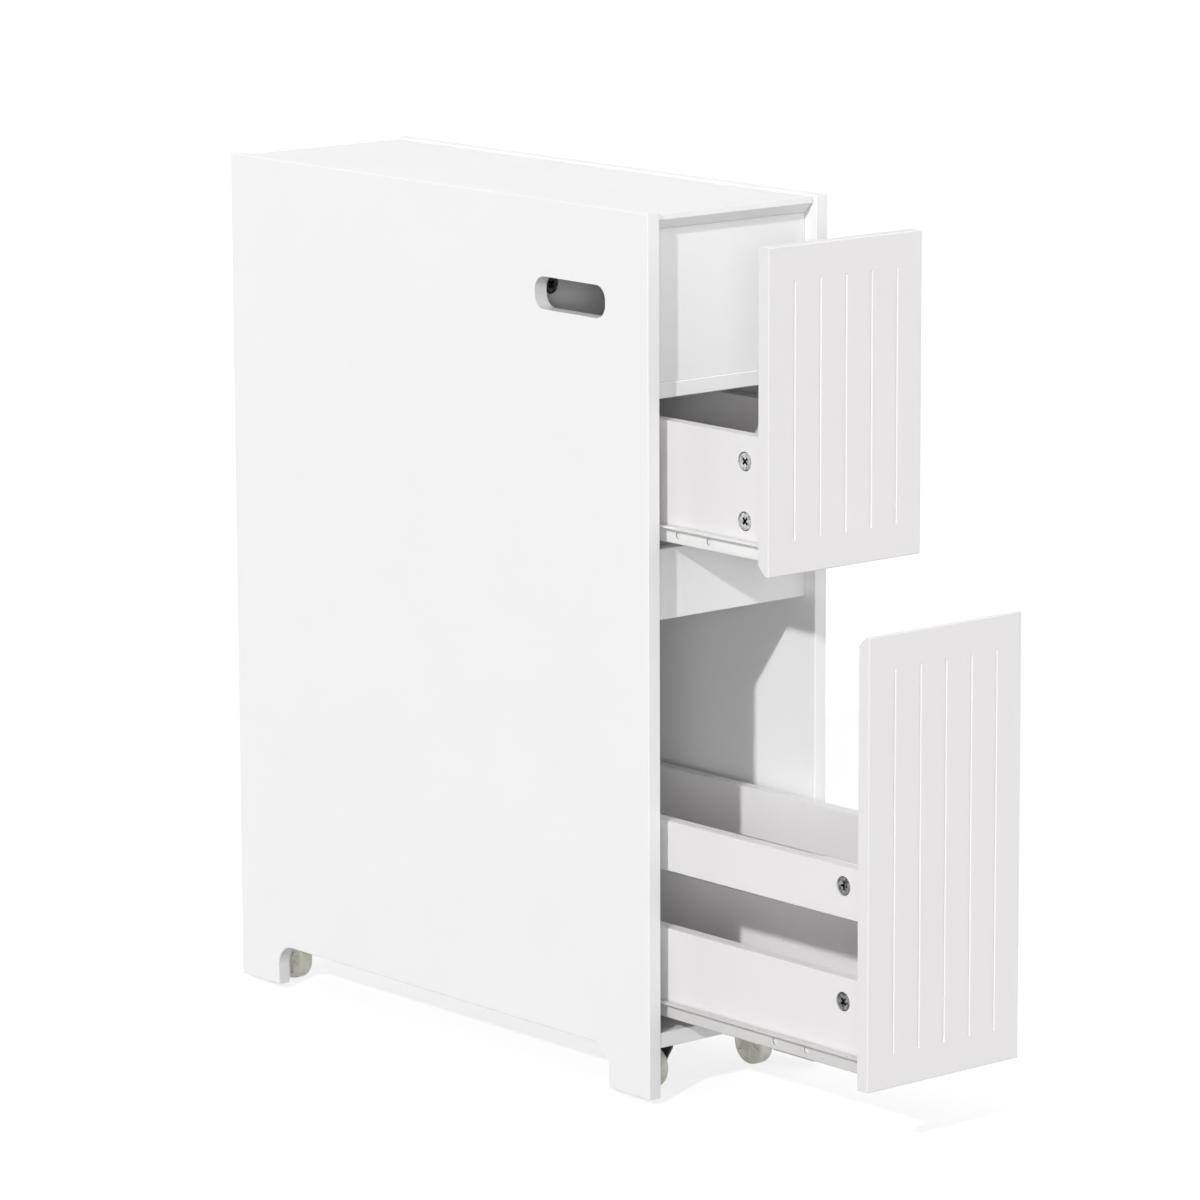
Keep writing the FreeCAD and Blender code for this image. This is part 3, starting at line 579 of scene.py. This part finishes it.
def box_of(points: list[Vector]) -> tuple[Vector, Vector]:
    """Give the lowest and highest corner of some points.

    Args:
        points: The points.

    Returns:
        The two corners of their box.
    """
    low = Vector([min(point[axis] for point in points) for axis in range(3)])
    high = Vector([max(point[axis] for point in points) for axis in range(3)])
    return low, high


def add_part(mesh: Mesh, part: Mesh, place: Matrix) -> None:
    """Put a finished part into a mesh.

    Args:
        mesh: Mesh that gets the part, in metres.
        part: The part, in millimetres; it is freed.
        place: Where the part's origin and axes go.
    """
    bmesh.ops.transform(part, matrix=place @ Matrix.Scale(MM, 4), verts=part.verts)
    data = bpy.data.meshes.new("part")
    part.to_mesh(data)
    part.free()
    mesh.from_mesh(data)
    bpy.data.meshes.remove(data)


def stand_in(mesh: Mesh, node: str, name: str, finish: Finish) -> bpy.types.Object:
    """Turn a finished mesh into the piece that is shown for a CAD node.

    Args:
        mesh: The piece, in place; it is freed.
        node: CAD node that the piece is shown for and rides with.
        name: Name of the piece.
        finish: Finish of the piece.

    Returns:
        The new object.
    """
    bmesh.ops.recalc_face_normals(mesh, faces=mesh.faces)
    data = bpy.data.meshes.new(name)
    mesh.to_mesh(data)
    mesh.free()
    data.polygons.foreach_set("use_smooth", [True] * len(data.polygons))
    data.set_sharp_from_angle(angle=SHARP_ANGLE)
    data.materials.append(finish.material())
    piece = bpy.data.objects.new(name, data)
    bpy.context.scene.collection.objects.link(piece)
    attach(piece, frame["nodes"][node]["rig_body"])
    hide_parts(node)
    log.info("%s: %s, %d faces", name, finish.name, len(data.polygons))
    return piece


@dataclass(frozen=True)
class CrossScrew:
    """Countersunk screw with a tapered cross recess; sizes in millimetres."""

    head_radius: float = 3.2
    shank_radius: float = 1.6
    tip_length: float = 2.0
    arm_reach: float = 1.9
    arm_width: float = 0.95
    recess_depth: float = 1.5
    recess_taper: float = 0.55
    head_steps: int = 32

    def cross(self, mesh: Mesh) -> list[Edge]:
        """Draw the outline of the recess.

        Args:
            mesh: Mesh that gets the outline, at Z 0.

        Returns:
            The outline's edges.
        """
        half = self.arm_width / 2
        arm = [(half, half), (self.arm_reach, half), (self.arm_reach, -half)]
        corners = []
        for quarter in range(4):
            turn = Matrix.Rotation(-quarter * math.pi / 2, 3, "Z")
            corners += [mesh.verts.new(turn @ Vector((x, y, 0))) for x, y in arm]
        return [mesh.edges.new((corners[index - 1], corners[index])) for index in range(len(corners))]

    def ring(self, mesh: Mesh, edges: list[Edge], scale: float, drop: float) -> list[Edge]:
        """Extrude a closed outline downwards and scale its far end about the screw's axis.

        Args:
            mesh: Mesh that holds the outline.
            edges: Edges of the outline.
            scale: Size of the far end against the outline.
            drop: Depth of the far end below the outline.

        Returns:
            The edges of the far end.
        """
        made = bmesh.ops.extrude_edge_only(mesh, edges=edges)["geom"]
        verts = [item for item in made if isinstance(item, bmesh.types.BMVert)]
        bmesh.ops.scale(mesh, vec=(scale, scale, 1), verts=verts)
        bmesh.ops.translate(mesh, vec=(0, 0, -drop), verts=verts)
        return [item for item in made if isinstance(item, bmesh.types.BMEdge)
                and item.verts[0] in verts and item.verts[1] in verts]

    def build(self, length: float) -> Mesh:
        """Build one screw, its head's face at the origin and its tip down the Z axis.

        Args:
            length: Length from the head's face to the tip.

        Returns:
            The screw, in millimetres.
        """
        mesh = bmesh.new()
        bmesh.ops.create_circle(mesh, segments=self.head_steps, radius=self.head_radius)
        rim = list(mesh.edges)
        recess = self.cross(mesh)
        bmesh.ops.triangle_fill(mesh, edges=rim + recess, use_beauty=True)
        floor = self.ring(mesh, recess, self.recess_taper, self.recess_depth)
        bmesh.ops.contextual_create(mesh, geom=floor)
        head_depth = self.head_radius - self.shank_radius
        neck = self.ring(mesh, rim, self.shank_radius / self.head_radius, head_depth)
        shank = self.ring(mesh, neck, 1.0, length - self.tip_length - head_depth)
        tip = self.ring(mesh, shank, 0.0, self.tip_length)
        point = list({vert for edge in tip for vert in edge.verts})
        bmesh.ops.remove_doubles(mesh, verts=point, dist=MERGE_MM)
        return mesh


@dataclass(frozen=True)
class ScrewSet:
    """The screws of one CAD node, shown with their recesses."""

    node: str
    shape: CrossScrew = CrossScrew()

    def find(self, points: list[Vector]) -> tuple[Matrix, float]:
        """Find where a plain screw is.

        Args:
            points: Corner points of the plain screw, in metres.

        Returns:
            Where its head's face is, with the Z axis looking out of the work, and its length in millimetres.
        """
        low, high = box_of(points)
        size = high - low
        axis = max(range(3), key=lambda index: size[index])
        along = Vector([float(index == axis) for index in range(3)])
        middle = (low + high) / 2
        widest = max(points, key=lambda point: along.cross(point - middle).length)
        outward = along if widest[axis] > middle[axis] else -along
        turn = Z_AXIS.rotation_difference(outward).to_matrix().to_4x4()
        return Matrix.Translation(middle + outward * (size[axis] / 2)) @ turn, size[axis] / MM

    def build(self) -> bpy.types.Object:
        """Build a cross-headed screw where each plain one is.

        Returns:
            The piece with all the node's screws.
        """
        mesh = bmesh.new()
        for points in solids_of(self.node):
            place, length = self.find(points)
            add_part(mesh, self.shape.build(length), place)
        return stand_in(mesh, self.node, "cross_headed_" + self.node, ZINC_PLATE)


def spun(profile: Outline, steps: int) -> Mesh:
    """Turn a profile once round the X axis.

    Args:
        profile: Corners as distance along X and radius, in millimetres; closed unless it starts on the axis.
        steps: Steps of the full turn.

    Returns:
        The turned mesh, still in millimetres.
    """
    mesh = bmesh.new()
    verts = [mesh.verts.new((along, 0, radius)) for along, radius in profile]
    first = 1 if profile[0][1] == 0 else 0
    edges = [mesh.edges.new((verts[index - 1], verts[index])) for index in range(first, len(verts))]
    bmesh.ops.spin(mesh, geom=verts + edges, cent=(0, 0, 0), axis=X_AXIS, angle=math.tau, steps=steps,
                   use_merge=True)
    bmesh.ops.remove_doubles(mesh, verts=mesh.verts, dist=MERGE_MM)
    bmesh.ops.recalc_face_normals(mesh, faces=mesh.faces)
    return mesh


def round_rims(mesh: Mesh, radius: float, offset: float, segments: int) -> None:
    """Round the rims that run round the X axis at a radius.

    Args:
        mesh: Turned mesh, in millimetres.
        radius: Radius of the rims.
        offset: How far the rounding reaches.
        segments: Faces across the rounding.
    """
    rims = []
    for edge in mesh.edges:
        first, last = (vert.co for vert in edge.verts)
        level = abs(first.x - last.x) < RIM_MM
        if level and all(abs(point.yz.length - radius) < RIM_MM for point in (first, last)):
            rims.append(edge)
    bmesh.ops.bevel(mesh, geom=rims, offset=offset, affect="EDGES", segments=segments, profile=0.5,
                    material=-1)


@dataclass(frozen=True)
class Wheel:
    """Moulded caster wheel with a rounded tread, ribs in its recessed faces and a hub closed on one side.

    Sizes are in millimetres.
    """

    width: float = 13.0
    tread_round: float = 3.0
    tread_segments: int = 5
    rim_thickness: float = 4.0
    face_recess: float = 2.5
    hub_radius: float = 5.5
    hub_wall: float = 1.0
    bore_radius: float = 2.55
    pocket_radius: float = 3.15
    pocket_length: float = 1.5
    rib_count: int = 6
    rib_thickness: float = 1.8
    rib_sink: float = 0.6
    edge_round: float = 0.35
    edge_segments: int = 2
    steps: int = 64

    def profile(self, radius: float, hub_half: float) -> Outline:
        """Draw the section, from the closed hub face out over the tread and back into the blind bore.

        Args:
            radius: Radius of the tread.
            hub_half: Half of the hub's length.

        Returns:
            Corners as distance along the axle and radius.
        """
        rim_inside = radius - self.rim_thickness
        web_half = self.width / 2 - self.face_recess
        open_side = [(hub_half, self.hub_radius), (web_half, self.hub_radius), (web_half, rim_inside),
                     (self.width / 2, rim_inside), (self.width / 2, radius)]
        closed_side = [(-along, out) for along, out in open_side]
        pocket_end = self.hub_wall - hub_half
        pocket_start = pocket_end + self.pocket_length
        blind_bore = [(hub_half, self.bore_radius), (pocket_start, self.bore_radius),
                      (pocket_start, self.pocket_radius), (pocket_end, self.pocket_radius), (pocket_end, 0)]
        return [(-hub_half, 0)] + closed_side + open_side[::-1] + blind_bore

    def add_ribs(self, mesh: Mesh, rim_inside: float) -> None:
        """Add the ribs that run from the hub to the rim.

        Args:
            mesh: Wheel, in millimetres.
            rim_inside: Inside radius of the rim.
        """
        start = (self.bore_radius + self.hub_radius) / 2
        end = rim_inside + self.rib_sink
        size = (self.width - 2 * self.rib_sink, self.rib_thickness, end - start)
        for index in range(self.rib_count):
            turn = Matrix.Rotation(index * math.tau / self.rib_count, 4, "X")
            place = turn @ Matrix.Translation((0, 0, -(start + end) / 2)) @ Matrix.Diagonal((*size, 1))
            verts = bmesh.ops.create_cube(mesh, size=1, matrix=place)["verts"]
            edges = list({edge for vert in verts for edge in vert.link_edges})
            bmesh.ops.bevel(mesh, geom=edges, offset=self.edge_round, affect="EDGES",
                            segments=self.edge_segments, profile=0.5, material=-1)

    def build(self, corner: Corner) -> bpy.types.Object:
        """Build the wheel of one caster where its CAD node is.

        Args:
            corner: The caster's corner.

        Returns:
            The piece.
        """
        node = corner.value + "_caster_wheel"
        low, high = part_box(node)
        half = (high - low) / 2 / MM
        rim_inside = half.z - self.rim_thickness
        wheel = spun(self.profile(half.z, half.x), self.steps)
        round_rims(wheel, half.z, self.tread_round, self.tread_segments)
        for radius in (rim_inside, self.hub_radius):
            round_rims(wheel, radius, self.edge_round, self.edge_segments)
        self.add_ribs(wheel, rim_inside)
        mesh = bmesh.new()
        add_part(mesh, wheel, Matrix.Translation((low + high) / 2))
        return stand_in(mesh, node, corner.value + "_moulded_wheel", NATURAL_NYLON)


@dataclass(frozen=True)
class RollerPair:
    """The left and right roller of one runner end, with rounded rims and sunk faces; millimetres."""

    node: str
    bore_radius: float = 2.05
    hub_radius: float = 3.6
    rim_thickness: float = 1.8
    face_sink: float = 0.5
    edge_round: float = 0.6
    edge_segments: int = 3
    steps: int = 48

    def profile(self, radius: float, half_width: float) -> Outline:
        """Draw the closed section of one roller.

        Args:
            radius: Radius of the tread.
            half_width: Half of the roller's width.

        Returns:
            Corners as distance along the stud and radius.
        """
        sunk = half_width - self.face_sink
        rim_inside = radius - self.rim_thickness
        half = [(half_width, self.bore_radius), (half_width, self.hub_radius), (sunk, self.hub_radius),
                (sunk, rim_inside), (half_width, rim_inside), (half_width, radius)]
        return half + [(-along, out) for along, out in reversed(half)]

    def build(self) -> bpy.types.Object:
        """Build both rollers where the CAD ones are.

        Returns:
            The piece with both rollers.
        """
        mesh = bmesh.new()
        for points in solids_of(self.node):
            low, high = box_of(points)
            half = (high - low) / 2 / MM
            roller = spun(self.profile(half.z, half.x), self.steps)
            round_rims(roller, half.z, self.edge_round, self.edge_segments)
            add_part(mesh, roller, Matrix.Translation((low + high) / 2))
        return stand_in(mesh, self.node, "moulded_" + self.node, WHITE_NYLON)


class Assembly:
    """A sub-assembly that builds the meshes shown for some CAD nodes and finishes the others."""

    def build(self) -> None:
        """Build the sub-assembly's own meshes; one that has none leaves this out."""

    def dress(self) -> None:
        """Finish the CAD nodes that are shown as they are."""
        raise NotImplementedError


@dataclass(frozen=True)
class Case(Assembly):
    """The boards that stand still, their cam joints and the screws of the back and of the runners."""

    boards: tuple[str, ...] = (
        "left_side_panel", "right_side_panel", "back_panel", "bottom_panel",
        "tissue_shelf", "tissue_front_panel", "tissue_divider", "middle_rail",
    )
    screws: tuple[str, ...] = ("cabinet_runner_screws", "back_panel_screws")

    def build(self) -> None:
        """Build the screws."""
        for node in self.screws:
            ScrewSet(node).build()

    def dress(self) -> None:
        """Lacquer the boards and give the cam joints their metals."""
        for board in self.boards:
            dress(board, CASE_LACQUER)
        dress("cabinet_cam_locks", BRIGHT_ZINC)
        dress("cabinet_cam_bolts", ZINC_PLATE)


@dataclass(frozen=True)
class Lid(Assembly):
    """The lid of the top compartment, its bushes and the pins that it lifts on."""

    board: str = "lid"
    bushes: str = "lid_pivot_bushes"
    pins: str = "lid_pivot_pins"

    def dress(self) -> None:
        """Lacquer the board and finish what it turns on."""
        dress(self.board, CASE_LACQUER)
        dress(self.bushes, WHITE_NYLON)
        dress(self.pins, ZINC_PLATE)


@dataclass(frozen=True)
class Drawer(Assembly):
    """One drawer with its side boards, cam joints, runners, rollers and screws."""

    level: Level
    side_boards: tuple[str, ...]
    lock_finish: DieCastZinc
    runner_finish: EpoxyCoat

    def named(self, piece: str) -> str:
        """Give the node name of one of the drawer's pieces."""
        return self.level.value + "_" + piece

    def build(self) -> None:
        """Build the drawer's screws and the rollers of its runners."""
        ScrewSet(self.named("drawer_screws")).build()
        for rollers in ("front_rollers", "rear_rollers"):
            RollerPair(self.named(rollers)).build()

    def dress(self) -> None:
        """Finish the boards, the runners and the cam joints."""
        for board in ("front", "back"):
            dress(self.named("drawer_" + board), DRAWER_LACQUER)
        dress(self.named("drawer_bottom"), WHITE_FOIL)
        for side in Side:
            for board in self.side_boards:
                dress(self.named("drawer_" + side.value + "_" + board), DRAWER_LACQUER)
            for runner in ("_drawer_runner", "_cabinet_runner"):
                dress(self.named(side.value + runner), self.runner_finish)
        dress(self.named("drawer_cam_locks"), self.lock_finish)
        dress(self.named("drawer_cam_bolts"), ZINC_PLATE)


@dataclass(frozen=True)
class Casters(Assembly):
    """The four swivel casters and the screws of their plates."""

    wheel: Wheel = Wheel()

    def build(self) -> None:
        """Build the wheels and the screws."""
        for corner in Corner:
            self.wheel.build(corner)
        ScrewSet("caster_screws").build()

    def dress(self) -> None:
        """Enamel the forks and plate what they turn on."""
        for corner in Corner:
            dress(corner.value + "_caster_fork", CASTER_BLACK)
            dress(corner.value + "_caster_axle", ZINC_PLATE)
        dress("caster_plates", ZINC_PLATE)
        dress("caster_kingpins", ZINC_PLATE)


@dataclass(frozen=True)
class PhotoCamera:
    """The camera as fitted to the photograph's edges; metres and degrees.

    The azimuth goes round to the left from straight in front of the drawers.
    """

    azimuth: float = 40.2095
    elevation: float = 11.0069
    distance: float = 4.9456
    target: Triple = (0.0448, 0.07392, 0.35534)
    roll: float = -0.218
    lens_mm: float = 181.974
    sensor_mm: float = 36.0

    def build(self) -> None:
        """Place the camera and make it the scene's own."""
        data = bpy.data.cameras.new("photo_camera")
        data.lens = self.lens_mm
        data.sensor_width = self.sensor_mm
        camera = bpy.data.objects.new("photo_camera", data)
        round_left = math.radians(self.azimuth)
        rise = math.radians(self.elevation)
        away = Vector((-math.sin(round_left) * math.cos(rise), -math.cos(round_left) * math.cos(rise),
                       math.sin(rise)))
        camera.location = Vector(self.target) + away * self.distance
        camera.rotation_mode = "QUATERNION"
        roll = Quaternion(Z_AXIS, math.radians(self.roll))
        camera.rotation_quaternion = (-away).to_track_quat("-Z", "Y") @ roll
        bpy.context.scene.collection.objects.link(camera)
        bpy.context.scene.camera = camera


@dataclass(frozen=True)
class FarLamp:
    """A lamp so far off that it lights the floor evenly: where its light goes, its strength and its spread.

    The spread is in degrees. The distance, in metres, only says where the lamp is drawn.
    """

    name: str
    direction: Triple
    strength: float
    spread: float
    distance: float = 3.0

    def build(self) -> None:
        """Hang the lamp."""
        data = bpy.data.lights.new(self.name, "SUN")
        data.energy = self.strength
        data.angle = math.radians(self.spread)
        lamp = bpy.data.objects.new(self.name, data)
        lamp.location = -Vector(self.direction) * self.distance
        lamp.rotation_mode = "QUATERNION"
        lamp.rotation_quaternion = Vector(self.direction).to_track_quat("-Z", "Y")
        bpy.context.scene.collection.objects.link(lamp)


@dataclass(frozen=True)
class Studio:
    """White floor and surround, a key from the left with the photograph's shadows, and soft fills."""

    floor_half: float = 30.0
    floor_colour: str = "#A8A8A8"
    floor_lift: float = 0.76
    surround: float = 0.03
    lamps: tuple[FarLamp, ...] = (
        FarLamp("key", (0.797, 0.351, -0.4915), 1.95, 2.0),
        FarLamp("top_box", (0.0, 0.0, -1.0), 0.45, 120.0),
        FarLamp("camera_box", (0.634, 0.75, -0.1), 0.95, 20.0),
        FarLamp("right_box", (-0.7, 0.7, -0.3), 1.9, 100.0),
        FarLamp("back_box", (0.15, -0.98, -0.1), 2.1, 50.0),
        FarLamp("side_box", (-0.98, -0.17, -0.1), 1.4, 50.0),
    )

    def shown_rays(self, tree: Tree) -> Socket:
        """Tell rays that show the surround itself from rays that light the object.

        Args:
            tree: Node tree of the world or the floor.

        Returns:
            A socket that is 1 for camera, glossy and transmission rays and 0 otherwise.
        """
        rays = add_node(tree, "ShaderNodeLightPath")
        seen = add_node(tree, "ShaderNodeMath", {"operation": "MAXIMUM"},
                        {0: rays.outputs["Is Camera Ray"], 1: rays.outputs["Is Glossy Ray"]})
        shown = add_node(tree, "ShaderNodeMath", {"operation": "MAXIMUM"},
                         {0: seen.outputs["Value"], 1: rays.outputs["Is Transmission Ray"]})
        return shown.outputs["Value"]

    def build_world(self) -> None:
        """Make a white surround that shows as white and adds little light."""
        world = bpy.data.worlds.new("white_surround")
        world.use_nodes = True
        tree = world.node_tree
        tree.nodes.clear()
        strength = add_node(tree, "ShaderNodeMapRange", {"To Min": self.surround, "To Max": 1.0},
                            {"Value": self.shown_rays(tree)})
        light = add_node(tree, "ShaderNodeBackground", {"Color": linear(WHITE)},
                         {"Strength": strength.outputs["Result"]})
        add_node(tree, "ShaderNodeOutputWorld", links={"Surface": light.outputs["Background"]})
        bpy.context.scene.world = world

    def floor_material(self) -> bpy.types.Material:
        """Make pale paper that is lifted to white where it is seen, and keeps the object's shadow.

        Returns:
            The floor's material.
        """
        material = bpy.data.materials.new("pale_paper_floor")
        material.use_nodes = True
        tree = material.node_tree
        tree.nodes.clear()
        paper = add_node(tree, "ShaderNodeBsdfDiffuse", {"Color": linear(self.floor_colour)})
        lift = add_node(tree, "ShaderNodeMath", {"operation": "MULTIPLY", 1: self.floor_lift},
                        {0: self.shown_rays(tree)})
        glow = add_node(tree, "ShaderNodeEmission", {"Color": linear(WHITE)},
                        {"Strength": lift.outputs["Value"]})
        both = add_node(tree, "ShaderNodeAddShader",
                        links={0: paper.outputs["BSDF"], 1: glow.outputs["Emission"]})
        add_node(tree, "ShaderNodeOutputMaterial", links={"Surface": both.outputs["Shader"]})
        return material

    def build_floor(self) -> None:
        """Lay a floor that fades into the surround."""
        mesh = bmesh.new()
        bmesh.ops.create_grid(mesh, x_segments=1, y_segments=1, size=self.floor_half)
        data = bpy.data.meshes.new("floor")
        mesh.to_mesh(data)
        mesh.free()
        data.materials.append(self.floor_material())
        floor = bpy.data.objects.new("floor", data)
        bpy.context.scene.collection.objects.link(floor)

    def build(self) -> None:
        """Build the surround, the floor and the lamps."""
        bpy.context.scene.view_settings.view_transform = "Standard"
        self.build_world()
        self.build_floor()
        for lamp in self.lamps:
            lamp.build()


def main() -> None:
    """Build and dress every sub-assembly, then the studio."""
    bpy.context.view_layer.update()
    assemblies: list[Assembly] = [
        Case(),
        Lid(),
        Drawer(Level.UPPER, ("side",), BRIGHT_ZINC, WHITE_EPOXY),
        Drawer(Level.LOWER, ("board", "rail"), DULL_ZINC, SHADED_EPOXY),
        Casters(),
    ]
    for assembly in assemblies:
        assembly.build()
        assembly.dress()
    Studio().build()
    PhotoCamera().build()


if __name__ == "__main__":
    main()
